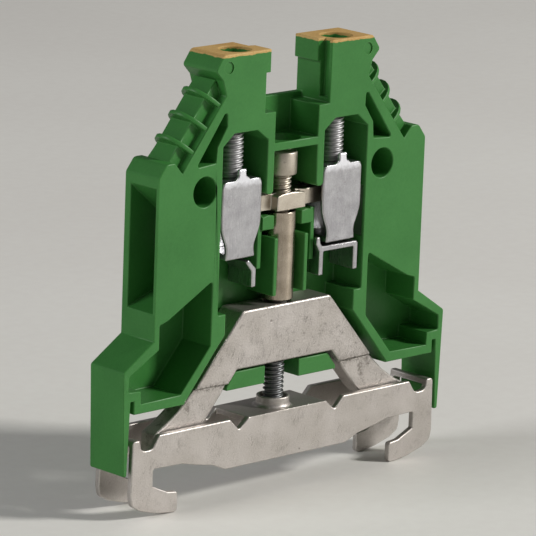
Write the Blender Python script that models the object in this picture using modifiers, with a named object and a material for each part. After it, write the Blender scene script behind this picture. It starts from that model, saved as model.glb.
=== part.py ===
"""Protective-earth terminal block for a 35 mm top-hat rail, in its loosened state.

Sizes are in millimetres and the helpers turn them into metres. X runs along the block, Z is up
from the lowest point of the rail hooks, and a depth is counted from the housing's open front
face towards its closed back. Every screw stands upright at half the housing's inner depth.
"""

import math

import bmesh
import bpy
from mathutils import Matrix, Vector

MM = 0.001
SIDES = {"left": -1, "right": 1}

# Housing, a tray moulded in one piece.
HALF_LENGTH = 21.8
TOP = 44.4
THICKNESS = 4.8
BOTTOM = 10.55
BACK_WALL = 0.8
FRONT_WALL = 0.35
CHANNEL_HALF = 2.9
INNER_WALL = 0.95
CAVITY_WIDTH = 5.9
OUTER_WALL = 0.85
FUNNEL_LENGTH = 8.25
SHELF_THICKNESS = 0.8
GRIP_PROUD = 1.45
GRIP_SIDE = 0.95
GRIP_FIN = 0.45
GRIP_FIN_RISE = 2.6

# Clearances.
FIT = 0.3
THREAD_GAP = 0.2
SIDE_GAP = 0.25

# Screws.
SCREW_RADIUS = 1.15
CLAMP_HEAD_RIM = 0.25
CLAMP_HEAD_HEIGHT = 0.95
FOOT_HEAD_RIM = 0.38
FOOT_HEAD_HEIGHT = 2.3
SLOT_WIDTH = 0.5
SLOT_DEPTH = 0.6
FOOT_TRAVEL = 1.7

# Sheet and bar.
BAR_BOTTOM = 28.0
BAR_HEIGHT = 1.65
BAR_FRONT = 0.7
BAR_BACK = 0.85
YOKE_SHEET = 0.6
YOKE_BELOW_BAR = 4.0
YOKE_ABOVE_BAR = 2.15
GUARD_SHEET = 0.55
GUARD_DROP = 2.9
SLEEVE_WALL = 0.25

# Rail bridge and foot.
RAIL_HALF = 17.78
BRIDGE_TOP = 18.6
BRIDGE_BOTTOM = 12.8
LEG_END = 5.0
LEG_THICKNESS = 1.95
BRIDGE_GAP = 0.4
FOOT_SHEET = 0.6
FOOT_OVERHANG = 0.2
FOOT_END_GAP = 1.2
FOOT_TOP = 7.95
COLLAR_WALL = 0.3
COLLAR_HEIGHT = 1.05

ARC_STEP = math.radians(22.5)
ROUND_STEPS = 28
FIN_STEPS = 12

# Worked out from the values above.
INTERIOR = THICKNESS - BACK_WALL
MIDDLE = INTERIOR / 2
HOLE_RADIUS = SCREW_RADIUS + THREAD_GAP
CAVITY_IN = CHANNEL_HALF + INNER_WALL
CAVITY_MIDDLE = CAVITY_IN + CAVITY_WIDTH / 2
CAVITY_OUT = CAVITY_IN + CAVITY_WIDTH
CAVITY_TOP = TOP - 7.8
BODY_SIDE = CAVITY_OUT + FUNNEL_LENGTH
PILLAR_IN = CAVITY_IN + 0.5
NOTCH_FLOOR = TOP - 5.65
SHOULDER = NOTCH_FLOOR - 0.6
BAR_TOP = BAR_BOTTOM + BAR_HEIGHT
BAR_HALF = CAVITY_OUT - 0.45
WALL_END = BAR_TOP + FIT + 0.05
FOOT_HEAD_BOTTOM = BAR_TOP + FOOT_TRAVEL
FOOT_HEAD_TOP = FOOT_HEAD_BOTTOM + FOOT_HEAD_HEIGHT
SHELF_BOTTOM = FOOT_HEAD_TOP + 0.55
SHELF_TOP = SHELF_BOTTOM + SHELF_THICKNESS
CLAMP_HEAD_RADIUS = SCREW_RADIUS + CLAMP_HEAD_RIM
FOOT_HEAD_RADIUS = SCREW_RADIUS + FOOT_HEAD_RIM
BORE_RADIUS = CLAMP_HEAD_RADIUS + THREAD_GAP
BORE_FLOOR = CAVITY_TOP + 0.35
CLAMP_HEAD_BOTTOM = BORE_FLOOR + SIDE_GAP
YOKE_BOTTOM = BAR_BOTTOM - YOKE_BELOW_BAR
YOKE_TOP = BAR_TOP + YOKE_ABOVE_BAR
YOKE_HALF = CAVITY_WIDTH / 2 - FIT - 0.03
GUARD_TOP = YOKE_BOTTOM - FIT
GUARD_BOTTOM = GUARD_TOP - GUARD_DROP
SLEEVE_RADIUS = HOLE_RADIUS + SLEEVE_WALL
SLEEVE_TOP = BAR_BOTTOM - FIT
SLEEVE_BOTTOM = BRIDGE_TOP + FIT
FOOT_HALF = HALF_LENGTH - FOOT_END_GAP
SLOPE_TOP = (CAVITY_OUT - 0.15, TOP - 4.0)
SLOPE_FOOT = (CAVITY_OUT + 5.25, TOP - 10.95)

parts = None
cutters = None


# ---- Helpers ----------------------------------------------------------------------------------


def clear_scene():
    for thing in list(bpy.data.objects):
        bpy.data.objects.remove(thing)


def new_collection(name):
    collection = bpy.data.collections.new(name)
    bpy.context.scene.collection.children.link(collection)
    return collection


def y_of(depth):
    """The place along Y of a depth behind the housing's front face."""
    return depth - THICKNESS / 2


def rounded(corners):
    """The points of an outline, with an arc at each corner given as (x, z, radius)."""
    points = []
    for index, corner in enumerate(corners):
        here = Vector(corner[:2])
        if len(corner) < 3:
            points.append(here)
            continue
        radius = corner[2]
        before = (Vector(corners[index - 1][:2]) - here).normalized()
        after = (Vector(corners[(index + 1) % len(corners)][:2]) - here).normalized()
        half_angle = before.angle(after) / 2
        centre = here + (before + after).normalized() * (radius / math.sin(half_angle))
        first = here + before * (radius / math.tan(half_angle)) - centre
        last = here + after * (radius / math.tan(half_angle)) - centre
        start = math.atan2(first.y, first.x)
        sweep = (math.atan2(last.y, last.x) - start + math.pi) % (2 * math.pi) - math.pi
        steps = max(2, round(abs(sweep) / ARC_STEP))
        for step in range(steps + 1):
            angle = start + sweep * step / steps
            points.append(centre + radius * Vector((math.cos(angle), math.sin(angle))))
    return points


def both_sides(right_half):
    """A whole outline from its right half, closed across the middle."""
    left_half = [(-corner[0], *corner[1:]) for corner in reversed(right_half)]
    return right_half + left_half


def on_side(side, outline, middle=0):
    """An outline drawn for the right-hand side, put on either side, its own zero at middle."""
    return [(side * (middle + corner[0]), *corner[1:]) for corner in outline]


def close_caps(mesh):
    """Welds an extruded outline's caps to its sides, makes each cap one face and turns all outwards."""
    work = bmesh.new()
    work.from_mesh(mesh)
    bmesh.ops.remove_doubles(work, verts=work.verts, dist=1e-7)
    for end in {round(vertex.co.y, 7) for vertex in work.verts}:
        cap = [face for face in work.faces if all(abs(vertex.co.y - end) < 1e-7 for vertex in face.verts)]
        bmesh.ops.dissolve_faces(work, faces=cap)
    bmesh.ops.recalc_face_normals(work, faces=work.faces)
    work.to_mesh(mesh)
    work.free()


def new_object(name, mesh, collection):
    made = bpy.data.objects.new(name, mesh)
    collection.objects.link(made)
    if collection is cutters:
        made.hide_render = True
        made.display_type = "WIRE"
    return made


def extruded(name, outlines, front, back, collection):
    """A solid with these outlines, which don't overlap, from one depth to another."""
    curve = bpy.data.curves.new(name, "CURVE")
    curve.dimensions = "2D"
    curve.fill_mode = "BOTH"
    curve.extrude = (back - front) / 2
    for outline in outlines:
        points = rounded(outline)
        spline = curve.splines.new("POLY")
        spline.points.add(len(points) - 1)
        spline.use_cyclic_u = True
        for point, place in zip(spline.points, points):
            point.co = (place.x, place.y, 0, 1)
    drawn = bpy.data.objects.new(name + "_outline", curve)
    drawn.location.y = y_of((front + back) / 2) * MM
    drawn.rotation_euler.x = math.pi / 2
    drawn.scale = (MM, MM, MM)
    collection.objects.link(drawn)
    bpy.context.view_layer.update()
    graph = bpy.context.evaluated_depsgraph_get()
    mesh = bpy.data.meshes.new_from_object(drawn.evaluated_get(graph))
    mesh.name = name
    mesh.transform(drawn.matrix_world)
    bpy.data.objects.remove(drawn)
    close_caps(mesh)
    return new_object(name, mesh, collection)


def box(name, x_range, depth_range, z_range, collection):
    low = Vector((x_range[0], y_of(depth_range[0]), z_range[0])) * MM
    high = Vector((x_range[1], y_of(depth_range[1]), z_range[1])) * MM
    place = Matrix.Translation((low + high) / 2) @ Matrix.Diagonal((*(high - low), 1))
    return primitive_cube(name, place, collection)


def primitive_cube(name, matrix, collection):
    work = bmesh.new()
    bmesh.ops.create_cube(work, size=1, matrix=matrix)
    bmesh.ops.recalc_face_normals(work, faces=work.faces)
    mesh = bpy.data.meshes.new(name)
    work.to_mesh(mesh)
    work.free()
    return new_object(name, mesh, collection)


def cylinder(name, start, end, radius, collection):
    """A round bar between two points given as (x, depth, z)."""
    low = Vector((start[0], y_of(start[1]), start[2])) * MM
    high = Vector((end[0], y_of(end[1]), end[2])) * MM
    turn = (high - low).to_track_quat("Z", "Y").to_matrix().to_4x4()
    work = bmesh.new()
    bmesh.ops.create_cone(
        work,
        cap_ends=True,
        segments=ROUND_STEPS,
        radius1=radius * MM,
        radius2=radius * MM,
        depth=(high - low).length,
        matrix=Matrix.Translation((low + high) / 2) @ turn,
    )
    mesh = bpy.data.meshes.new(name)
    work.to_mesh(mesh)
    work.free()
    return new_object(name, mesh, collection)


def screw_hole(name, x, bottom, top, radius=HOLE_RADIUS):
    """A cutter for an upright hole on the line of the screws."""
    return cylinder(name, (x, MIDDLE, bottom), (x, MIDDLE, top), radius, cutters)


def turned(name, x, profile, closed=False):
    """A solid turned about the upright line at x, its profile (radius, z) drawn downwards."""
    mesh = bpy.data.meshes.new(name)
    edges = [(index, index + 1) for index in range(len(profile) - 1)]
    if closed:
        edges.append((len(profile) - 1, 0))
    mesh.from_pydata([(radius * MM, 0, z * MM) for radius, z in profile], edges, [])
    made = new_object(name, mesh, parts)
    made.location = (x * MM, y_of(MIDDLE) * MM, 0)
    screw = made.modifiers.new("turn", "SCREW")
    screw.axis = "Z"
    screw.steps = ROUND_STEPS
    screw.render_steps = ROUND_STEPS
    screw.use_merge_vertices = True
    screw.merge_threshold = 1e-6
    screw.use_smooth_shade = True
    return made


def combine(target, tool, operation):
    step = target.modifiers.new(tool.name, "BOOLEAN")
    step.object = tool
    step.operation = operation
    step.solver = "EXACT"


def cut(target, *tools):
    for tool in tools:
        combine(target, tool, "DIFFERENCE")


def join(target, *tools):
    for tool in tools:
        combine(target, tool, "UNION")


def put_origin(made, x, z):
    """Moves an object's own origin onto its axis, and leaves its shape where it is."""
    place = Vector((x, y_of(MIDDLE), z)) * MM
    made.data.transform(Matrix.Translation(-place))
    made.location = place


def soften(made, width, segments=2):
    bevel = made.modifiers.new("soft_edges", "BEVEL")
    bevel.width = width * MM
    bevel.segments = segments
    bevel.limit_method = "ANGLE"
    bevel.angle_limit = math.radians(40)


def finish(made, colour, roughness, metallic):
    material = bpy.data.materials.new(made.name)
    material.use_nodes = True
    shader = material.node_tree.nodes["Principled BSDF"]
    shader.inputs["Base Color"].default_value = (*colour, 1)
    shader.inputs["Roughness"].default_value = roughness
    shader.inputs["Metallic"].default_value = metallic
    made.data.materials.append(material)


# ---- Housing ----------------------------------------------------------------------------------


def body_outline():
    return both_sides(
        [
            (PILLAR_IN, NOTCH_FLOOR),
            (PILLAR_IN, TOP, 0.25),
            (CAVITY_OUT + 0.25, TOP, 0.5),
            (CAVITY_OUT + 1.3, TOP - 1.5, 0.35),
            (CAVITY_OUT + 0.35, TOP - 2.5, 0.15),
            SLOPE_TOP,
            SLOPE_FOOT,
            (CAVITY_OUT + 6.25, TOP - 9.8, 0.2),
            (CAVITY_OUT + 7.25, TOP - 9.8, 0.5),
            (BODY_SIDE, TOP - 11.1, 0.5),
            (BODY_SIDE, 17.4),
            (HALF_LENGTH, 14.9, 0.35),
            (HALF_LENGTH - 0.3, 4.55, 0.2),
            (HALF_LENGTH - 0.75, 4.55),
            (HALF_LENGTH - 1.0, BOTTOM + 1.35),
            (HALF_LENGTH - 1.45, BOTTOM + 1.35),
            (HALF_LENGTH - 1.45, BOTTOM),
        ]
    )


def chamber_outline():
    """The clamp cavities, the foot screw's channel and the space for the rail bridge, in one."""
    return both_sides(
        [
            (CHANNEL_HALF, SHELF_BOTTOM),
            (CHANNEL_HALF, WALL_END, 0.4),
            (CAVITY_IN, WALL_END, 0.4),
            (CAVITY_IN, CAVITY_TOP - 1.1),
            (CAVITY_IN + 1.45, CAVITY_TOP),
            (CAVITY_OUT - 1.45, CAVITY_TOP),
            (CAVITY_OUT, CAVITY_TOP - 1.2),
            (CAVITY_OUT, 18.8, 0.2),
            (CAVITY_OUT - 1.05, 18.8),
            (CAVITY_OUT - 1.05, 16.7),
            (CAVITY_OUT + 0.17, 15.3),
            (CAVITY_OUT + 4.0, BOTTOM + 0.15),
            (CAVITY_OUT + 4.0, BOTTOM - 1),
        ]
    )


def upper_channel_outline():
    return both_sides(
        [
            (CHANNEL_HALF, SHELF_TOP),
            (CHANNEL_HALF, SHOULDER),
            (PILLAR_IN, SHOULDER),
            (PILLAR_IN, NOTCH_FLOOR + 1),
        ]
    )


def slope_pocket_outline():
    """The three-cornered hollow behind the gripping slope."""
    return [
        (CAVITY_OUT - 0.35, TOP - 5.34, 0.2),
        (CAVITY_OUT - 0.42, TOP - 7.0),
        (CAVITY_OUT + 0.76, TOP - 8.74),
        (CAVITY_OUT + 0.9, TOP - 10.42, 0.2),
        (CAVITY_OUT + 3.47, TOP - 10.62, 0.2),
    ]


def lower_pocket_outline():
    """The slanted hollow between the funnel's floor and the foot's end."""
    pocket_in = CAVITY_OUT + OUTER_WALL
    return [
        (pocket_in, 22.35, 0.2),
        (BODY_SIDE - 1.7, 19.2),
        (BODY_SIDE - 0.67, 18.9, 0.2),
        (BODY_SIDE - 0.7, 16.5),
        (HALF_LENGTH - 0.75, 14.4, 0.2),
        (HALF_LENGTH - 0.7, 12.9, 0.2),
        (HALF_LENGTH - 2.3, 12.8),
        (HALF_LENGTH - 2.34, BOTTOM + 0.95),
        (CAVITY_OUT + 4.55, BOTTOM + 1.05),
        (pocket_in, 15.9),
    ]


def funnel_outline():
    """The wire's way in, wide at the block's side and narrow at the clamp."""
    return [
        (BODY_SIDE + 0.1, 20.0),
        (BODY_SIDE + 0.1, 32.4),
        (BODY_SIDE - 3.4, 29.4),
        (CAVITY_OUT - 0.05, 29.2),
        (CAVITY_OUT - 0.05, 24.2),
        (CAVITY_OUT + 2.75, 22.2),
    ]


def half_round_fin(name, middle, along, outward):
    """A thin fin across the slope, its edge half an ellipse from the front face to the back."""
    work = bmesh.new()
    rings = []
    for shift in (-GRIP_FIN / 2, GRIP_FIN / 2):
        ring = []
        for step in range(-1, FIN_STEPS + 2):
            angle = math.pi * min(max(step, 0), FIN_STEPS) / FIN_STEPS
            rise = -0.25 if step in (-1, FIN_STEPS + 1) else GRIP_FIN_RISE * math.sin(angle)
            place = middle + shift * along + rise * outward
            depth = THICKNESS / 2 - (THICKNESS / 2 - 0.15) * math.cos(angle)
            ring.append(work.verts.new(Vector((place.x, y_of(depth), place.y)) * MM))
        rings.append(ring)
        work.faces.new(ring)
    for index in range(len(rings[0])):
        after = (index + 1) % len(rings[0])
        work.faces.new((rings[0][index], rings[0][after], rings[1][after], rings[1][index]))
    bmesh.ops.recalc_face_normals(work, faces=work.faces)
    mesh = bpy.data.meshes.new(name)
    work.to_mesh(mesh)
    work.free()
    return new_object(name, mesh, cutters)


def add_slope_grip(housing, name, side):
    """A narrow block on the slope, and three half-round fins across it."""
    top = Vector(SLOPE_TOP)
    along = (Vector(SLOPE_FOOT) - top).normalized()
    outward = Vector((-along.y, along.x))
    outline = [
        tuple(top + GRIP_PROUD * outward - 0.8 * along),
        tuple(Vector(SLOPE_FOOT) + GRIP_PROUD * outward + 0.3 * along),
        tuple(Vector(SLOPE_FOOT) - 0.3 * outward + 0.5 * along),
        tuple(top - 0.3 * outward),
    ]
    block = extruded(name + "_block", [on_side(side, outline)], GRIP_SIDE, THICKNESS - GRIP_SIDE, cutters)
    join(housing, block)
    mirror = Vector((side, 1))
    for count in range(3):
        middle = top + (1.13 + 2.68 * count) * along
        fin = half_round_fin(f"{name}_fin_{count + 1}", middle * mirror, along * mirror, outward * mirror)
        soften(fin, 0.1)
        join(housing, fin)


def add_guides(housing, name, side):
    """The ribs inside that keep the sleeve, the bar and the bridge in place."""
    deep = INTERIOR + 0.2
    block_in = SLEEVE_RADIUS + SIDE_GAP
    guide_top = BAR_BOTTOM - FIT
    block = [
        (block_in, guide_top - 0.15, 0.1),
        ((block_in + CHANNEL_HALF + 0.5) / 2, guide_top),
        (CHANNEL_HALF + 0.5, guide_top - 0.15),
        (CHANNEL_HALF + 0.5, guide_top - 1.5),
        (block_in, guide_top - 1.5),
    ]
    rib_in = SLEEVE_RADIUS + 0.2
    ledge = [
        (2.3, BOTTOM + 0.15),
        (2.3, BRIDGE_BOTTOM - FIT),
        (RAIL_HALF - 11.43, BRIDGE_BOTTOM - FIT),
        (RAIL_HALF - 10.33, BOTTOM + 0.5),
        (RAIL_HALF - 10.33, BOTTOM + 0.15),
    ]
    join(
        housing,
        extruded(name + "_guide_block", [on_side(side, block)], 0.8, deep, cutters),
        box(
            name + "_wall_leg",
            sorted((side * (CHANNEL_HALF + 0.4), side * CAVITY_IN)),
            (1.0, deep),
            (guide_top - 5.3, guide_top),
            cutters,
        ),
        box(
            name + "_rib",
            sorted((side * rib_in, side * (rib_in + 0.5))),
            (0.2, deep),
            (BRIDGE_TOP + 1.0, guide_top - 2.3),
            cutters,
        ),
        extruded(name + "_ledge", [on_side(side, ledge)], 0.85, deep, cutters),
    )


def add_marking_slot(housing):
    """The right pillar's groove for a marking tag, with retaining lips on both pillars."""
    lip = (TOP - 2.3, TOP)
    groove_back = 1.55
    join(
        housing,
        box("left_lip", (-PILLAR_IN - 0.3, -PILLAR_IN + 0.55), (0, MIDDLE + 0.4), lip, cutters),
        box("right_lip", (PILLAR_IN - 0.4, PILLAR_IN + 0.3), (groove_back, THICKNESS), lip, cutters),
    )
    groove = ((PILLAR_IN - 0.6, PILLAR_IN + 0.65), (0.4, groove_back))
    cut(housing, box("tag_groove", *groove, (SHOULDER + 0.45, TOP + 1), cutters))


def make_housing():
    housing = extruded("housing", [body_outline()], 0, THICKNESS, parts)
    for name, side in SIDES.items():
        add_slope_grip(housing, name, side)
    pockets = [chamber_outline(), upper_channel_outline()]
    for side in SIDES.values():
        pockets += [on_side(side, slope_pocket_outline()), on_side(side, lower_pocket_outline())]
    cut(housing, extruded("front_pockets", pockets, -1, INTERIOR, cutters))
    add_marking_slot(housing)
    for name, side in SIDES.items():
        axis = side * CAVITY_MIDDLE
        hole_x = side * (CAVITY_OUT + 2.25)
        hole_z = TOP - 13.1
        hole_end = INTERIOR - 0.8
        cut(
            housing,
            extruded(name + "_funnel", [on_side(side, funnel_outline())], FRONT_WALL, INTERIOR, cutters),
            cylinder(name + "_blind_hole", (hole_x, -1, hole_z), (hole_x, hole_end, hole_z), 1.5, cutters),
            screw_hole(name + "_bore", axis, BORE_FLOOR, TOP + 1, BORE_RADIUS),
            screw_hole(name + "_neck", axis, CAVITY_TOP - 0.5, BORE_FLOOR + 0.5),
        )
        add_guides(housing, name, side)
    head_hole = FOOT_HEAD_RADIUS + THREAD_GAP
    cut(housing, screw_hole("shelf_hole", 0, SHELF_BOTTOM - 0.5, SHELF_TOP + 0.5, head_hole))
    for name, side in SIDES.items():
        x = side * (CAVITY_OUT - 0.4)
        z = TOP - 1.3
        cut(housing, cylinder(name + "_ejector_mark", (x, -1, z), (x, 0.12, z), 0.6, cutters))
    finish(housing, (0.055, 0.165, 0.05), 0.42, 0)


# ---- Screws -----------------------------------------------------------------------------------


def make_screw(name, x, tip, head_bottom, head_radius, head_height, material):
    """A slotted screw: a plain shank with a bevelled tip, and a cheese head."""
    head_top = head_bottom + head_height
    edge = 0.15
    screw = turned(
        name,
        x,
        [
            (0, head_top),
            (head_radius - edge, head_top),
            (head_radius, head_top - edge),
            (head_radius, head_bottom + edge),
            (head_radius - edge, head_bottom),
            (SCREW_RADIUS, head_bottom),
            (SCREW_RADIUS, tip + 0.3),
            (SCREW_RADIUS - 0.3, tip),
            (0, tip),
        ],
    )
    slot = box(
        name + "_slot",
        (x - head_radius - 1, x + head_radius + 1),
        (MIDDLE - SLOT_WIDTH / 2, MIDDLE + SLOT_WIDTH / 2),
        (head_top - SLOT_DEPTH, head_top + 1),
        cutters,
    )
    cut(screw, slot)
    finish(screw, *material)


def make_screws():
    steel = ((0.30, 0.28, 0.25), 0.35, 1)
    for name, side in SIDES.items():
        make_screw(
            "clamp_screw_" + name,
            side * CAVITY_MIDDLE,
            BAR_TOP + FIT,
            CLAMP_HEAD_BOTTOM,
            CLAMP_HEAD_RADIUS,
            CLAMP_HEAD_HEIGHT,
            steel,
        )
    tip = FOOT_TOP - FOOT_SHEET - 1.05
    make_screw("foot_screw", 0, tip, FOOT_HEAD_BOTTOM, FOOT_HEAD_RADIUS, FOOT_HEAD_HEIGHT, steel)


# ---- Bar, sleeve and clamps -------------------------------------------------------------------


def make_current_bar():
    bar = box(
        "current_bar",
        (-BAR_HALF, BAR_HALF),
        (MIDDLE - BAR_FRONT, MIDDLE + BAR_BACK),
        (BAR_BOTTOM, BAR_TOP),
        parts,
    )
    eye_half = HOLE_RADIUS + 0.55
    eye_reach = HOLE_RADIUS + 0.3
    steps = 6
    arch = [eye_half * (1 - 2 * step / steps) for step in range(steps + 1)]
    eye = [(x, BAR_TOP + 0.1 - 0.25 * (x / eye_half) ** 2) for x in arch]
    eye += [(-eye_half, BAR_BOTTOM), (eye_half, BAR_BOTTOM)]
    join(bar, extruded("bar_eye", [eye], MIDDLE - eye_reach, MIDDLE + eye_reach, cutters))
    cut(bar, screw_hole("bar_eye_hole", 0, BAR_BOTTOM - 1, BAR_TOP + 1))
    finish(bar, (0.40, 0.35, 0.30), 0.4, 1)


def make_spacer_sleeve():
    sleeve = turned(
        "spacer_sleeve",
        0,
        [
            (SLEEVE_RADIUS, SLEEVE_TOP),
            (SLEEVE_RADIUS, SLEEVE_BOTTOM),
            (HOLE_RADIUS, SLEEVE_BOTTOM),
            (HOLE_RADIUS, SLEEVE_TOP),
        ],
        closed=True,
    )
    finish(sleeve, (0.38, 0.35, 0.32), 0.35, 1)


def yoke_outline():
    return both_sides(
        [
            (YOKE_HALF, YOKE_TOP, 0.6),
            (YOKE_HALF, BAR_BOTTOM - 0.9, 3.5),
            (YOKE_HALF - 0.85, YOKE_BOTTOM + 1.15, 1.4),
            (YOKE_HALF - 0.67, YOKE_BOTTOM),
        ]
    )


def make_clamp_yoke(name, side):
    """A closed cage of sheet around the bar, with the clamp screw's thread in its top."""
    middle = side * CAVITY_MIDDLE
    front = SIDE_GAP
    back = INTERIOR - SIDE_GAP
    cheek = MIDDLE - HOLE_RADIUS - front
    placed = on_side(side, yoke_outline(), CAVITY_MIDDLE)
    yoke = extruded("clamp_yoke_" + name, [placed], front, back, parts)
    tongue = [
        (0.5, YOKE_TOP + 1.1, 0.15),
        (0.5, YOKE_TOP + 0.4, 0.4),
        (1.0, YOKE_TOP, 0.2),
        (1.1, YOKE_TOP - 0.3),
    ]
    tongue_outline = on_side(side, both_sides(tongue), CAVITY_MIDDLE)
    cut(
        yoke,
        box(
            name + "_yoke_window",
            (middle - CAVITY_WIDTH, middle + CAVITY_WIDTH),
            (front + cheek, back - cheek),
            (YOKE_BOTTOM + YOKE_SHEET, YOKE_TOP - YOKE_SHEET),
            cutters,
        ),
        screw_hole(name + "_yoke_hole", middle, YOKE_TOP - YOKE_SHEET - 0.2, YOKE_TOP + 1),
    )
    join(yoke, extruded(name + "_yoke_tongue", [tongue_outline], front, front + cheek - 0.05, cutters))
    put_origin(yoke, middle, YOKE_BOTTOM)
    finish(yoke, (0.42, 0.42, 0.42), 0.28, 1)


def make_wire_guards():
    """The leaves of sheet below the yokes that keep a wire from going in underneath."""
    front = FIT
    back = INTERIOR - FIT
    near = CAVITY_IN + 0.2
    far = CAVITY_OUT - 0.4
    under = GUARD_TOP - GUARD_SHEET
    hoop = [
        (near, GUARD_TOP, 0.3),
        (far, GUARD_TOP, 0.3),
        (far, GUARD_BOTTOM),
        (far - GUARD_SHEET, GUARD_BOTTOM),
        (far - GUARD_SHEET, under, 0.12),
        (near + GUARD_SHEET, under, 0.12),
        (near + GUARD_SHEET, GUARD_BOTTOM),
        (near, GUARD_BOTTOM),
    ]
    ear = [
        (near + 0.45, GUARD_TOP - 0.5),
        (near + 0.45, GUARD_TOP - 0.1),
        (near + 0.1, GUARD_TOP + 0.4),
        (near, GUARD_TOP + 1.0),
        (near - 0.45, GUARD_TOP + 1.0),
        (near - 0.45, GUARD_TOP + 0.3),
        (near + 0.05, GUARD_TOP - 0.5),
    ]
    right = extruded("wire_guard_right", [hoop], front, back, parts)
    join(right, extruded("guard_ear", [ear], front, front + 0.45, cutters))
    leaf = [
        (near + 0.5, GUARD_BOTTOM + 0.1),
        (near + 0.5, GUARD_TOP - 0.95, 0.3),
        (near + 1.5, GUARD_TOP),
        (near + 1.9, GUARD_TOP - 0.2),
        (near + 1.05, GUARD_TOP - 1.2, 0.2),
        (near + 1.05, GUARD_BOTTOM + 0.1),
    ]
    left = extruded("wire_guard_left", [on_side(-1, leaf)], front, back, parts)
    for guard, side in ((right, 1), (left, -1)):
        put_origin(guard, side * CAVITY_MIDDLE, GUARD_TOP)
        finish(guard, (0.42, 0.41, 0.40), 0.3, 1)


# ---- Rail bridge and foot ---------------------------------------------------------------------


def make_rail_bridge():
    """The thick stamping that stands on the rail's rims: a body, and two thinner legs."""
    body = both_sides(
        [
            (RAIL_HALF - 11.9, BRIDGE_TOP, 0.5),
            (RAIL_HALF - 5.78, 11.6),
            (RAIL_HALF - 10.2, 11.5),
            (RAIL_HALF - 11.28, BRIDGE_BOTTOM),
        ]
    )
    leg = [
        (RAIL_HALF - 6.8, 12.45),
        (RAIL_HALF - 3.78, 9.7),
        (RAIL_HALF - 2.18, 8.6),
        (RAIL_HALF - 0.78, 7.9, 0.3),
        (RAIL_HALF - 0.78, LEG_END, 0.2),
        (RAIL_HALF - 5.58, LEG_END, 0.2),
        (RAIL_HALF - 5.58, LEG_END + 1.6, 0.4),
        (RAIL_HALF - 7.48, 8.3),
        (RAIL_HALF - 9.38, 10.5),
        (RAIL_HALF - 10.58, 12.2),
    ]
    leg_front = FOOT_SHEET - FOOT_OVERHANG + SIDE_GAP
    bridge = extruded("rail_bridge", [body], BRIDGE_GAP, INTERIOR - BRIDGE_GAP, parts)
    for name, side in SIDES.items():
        outline = on_side(side, leg)
        join(bridge, extruded(name + "_leg", [outline], leg_front, leg_front + LEG_THICKNESS, cutters))
    cut(bridge, screw_hole("bridge_hole", 0, BRIDGE_BOTTOM - 1, BRIDGE_TOP + 1))
    finish(bridge, (0.40, 0.37, 0.34), 0.55, 1)


def foot_plate_outline():
    notch = FOOT_HALF - 1.85
    return both_sides(
        [
            (5.3, FOOT_TOP, 0.3),
            (6.55, FOOT_TOP - 1.07, 0.3),
            (7.74, FOOT_TOP + 0.15, 0.3),
            (notch - 1.65, FOOT_TOP + 0.15, 0.3),
            (notch - 0.8, FOOT_TOP - 1.15, 0.75),
            (notch + 0.8, FOOT_TOP - 1.15, 0.75),
            (notch + 0.85, FOOT_TOP, 0.2),
            (FOOT_HALF - 0.1, FOOT_TOP, 0.35),
            (FOOT_HALF, 2.5),
            (FOOT_HALF - 0.2, 1.5, 0.6),
            (FOOT_HALF - 1.3, 0.86),
            (RAIL_HALF - 0.58, 0.27),
            (RAIL_HALF - 2.28, 0.05),
            (RAIL_HALF - 3.28, 0, 0.4),
            (RAIL_HALF - 3.28, 2.05, 0.3),
            (RAIL_HALF - 1.98, 2.2),
            (RAIL_HALF - 0.88, 2.7),
            (RAIL_HALF, 3.1, 0.12),
            (RAIL_HALF, 4.8, 0.25),
            (RAIL_HALF - 3.78, 4.7),
            (RAIL_HALF - 5.48, 4.3),
            (RAIL_HALF - 7.88, 3.85),
            (RAIL_HALF - 9.58, 3.15),
        ]
    )


def foot_space_outline():
    """What the folded channel leaves open between its two plates: all but three webs."""
    web_bottom = FOOT_TOP - FOOT_SHEET
    return both_sides(
        [
            (5.3, web_bottom),
            (5.3, FOOT_TOP + 1),
            (FOOT_HALF - 1.15, FOOT_TOP + 1),
            (FOOT_HALF - 1.15, web_bottom),
            (FOOT_HALF + 1, web_bottom),
            (FOOT_HALF + 1, -1),
        ]
    )


def make_rail_foot():
    """A channel folded from sheet, with hooks under the rail's rims and a threaded collar."""
    front = -FOOT_OVERHANG
    back = THICKNESS + FOOT_OVERHANG
    foot = extruded("rail_foot", [foot_plate_outline()], front, back, parts)
    space = extruded("foot_space", [foot_space_outline()], front + FOOT_SHEET, back - FOOT_SHEET, cutters)
    cut(foot, space)
    collar_top = FOOT_TOP + COLLAR_HEIGHT
    collar_bottom = FOOT_TOP - FOOT_SHEET / 2
    collar_radius = HOLE_RADIUS + COLLAR_WALL
    join(
        foot,
        cylinder("collar", (0, MIDDLE, collar_bottom), (0, MIDDLE, collar_top), collar_radius, cutters),
    )
    cut(foot, screw_hole("collar_hole", 0, FOOT_TOP - 2, collar_top + 1))
    put_origin(foot, 0, 0)
    finish(foot, (0.42, 0.39, 0.36), 0.5, 1)


clear_scene()
parts = new_collection("din_rail_terminal_block")
cutters = new_collection("cutters")
make_housing()
make_screws()
make_current_bar()
make_spacer_sleeve()
for side_name, side_sign in SIDES.items():
    make_clamp_yoke(side_name, side_sign)
make_wire_guards()
make_rail_bridge()
make_rail_foot()
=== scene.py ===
# %% [markdown]
# # A rail-mounted earth terminal block
# This lesson dresses a small terminal block: a thin green moulding, open on one face, that holds
# two screw clamps, a conductor bar and a hooked foot for a 35 mm rail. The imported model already
# has every size and place, so the script only makes edges, threads, surfaces and light. The
# frame is loaded first, because each later step measures from it.

# %% load the frame
import math

import bmesh
import bpy
from mathutils import Matrix, Vector


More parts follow.
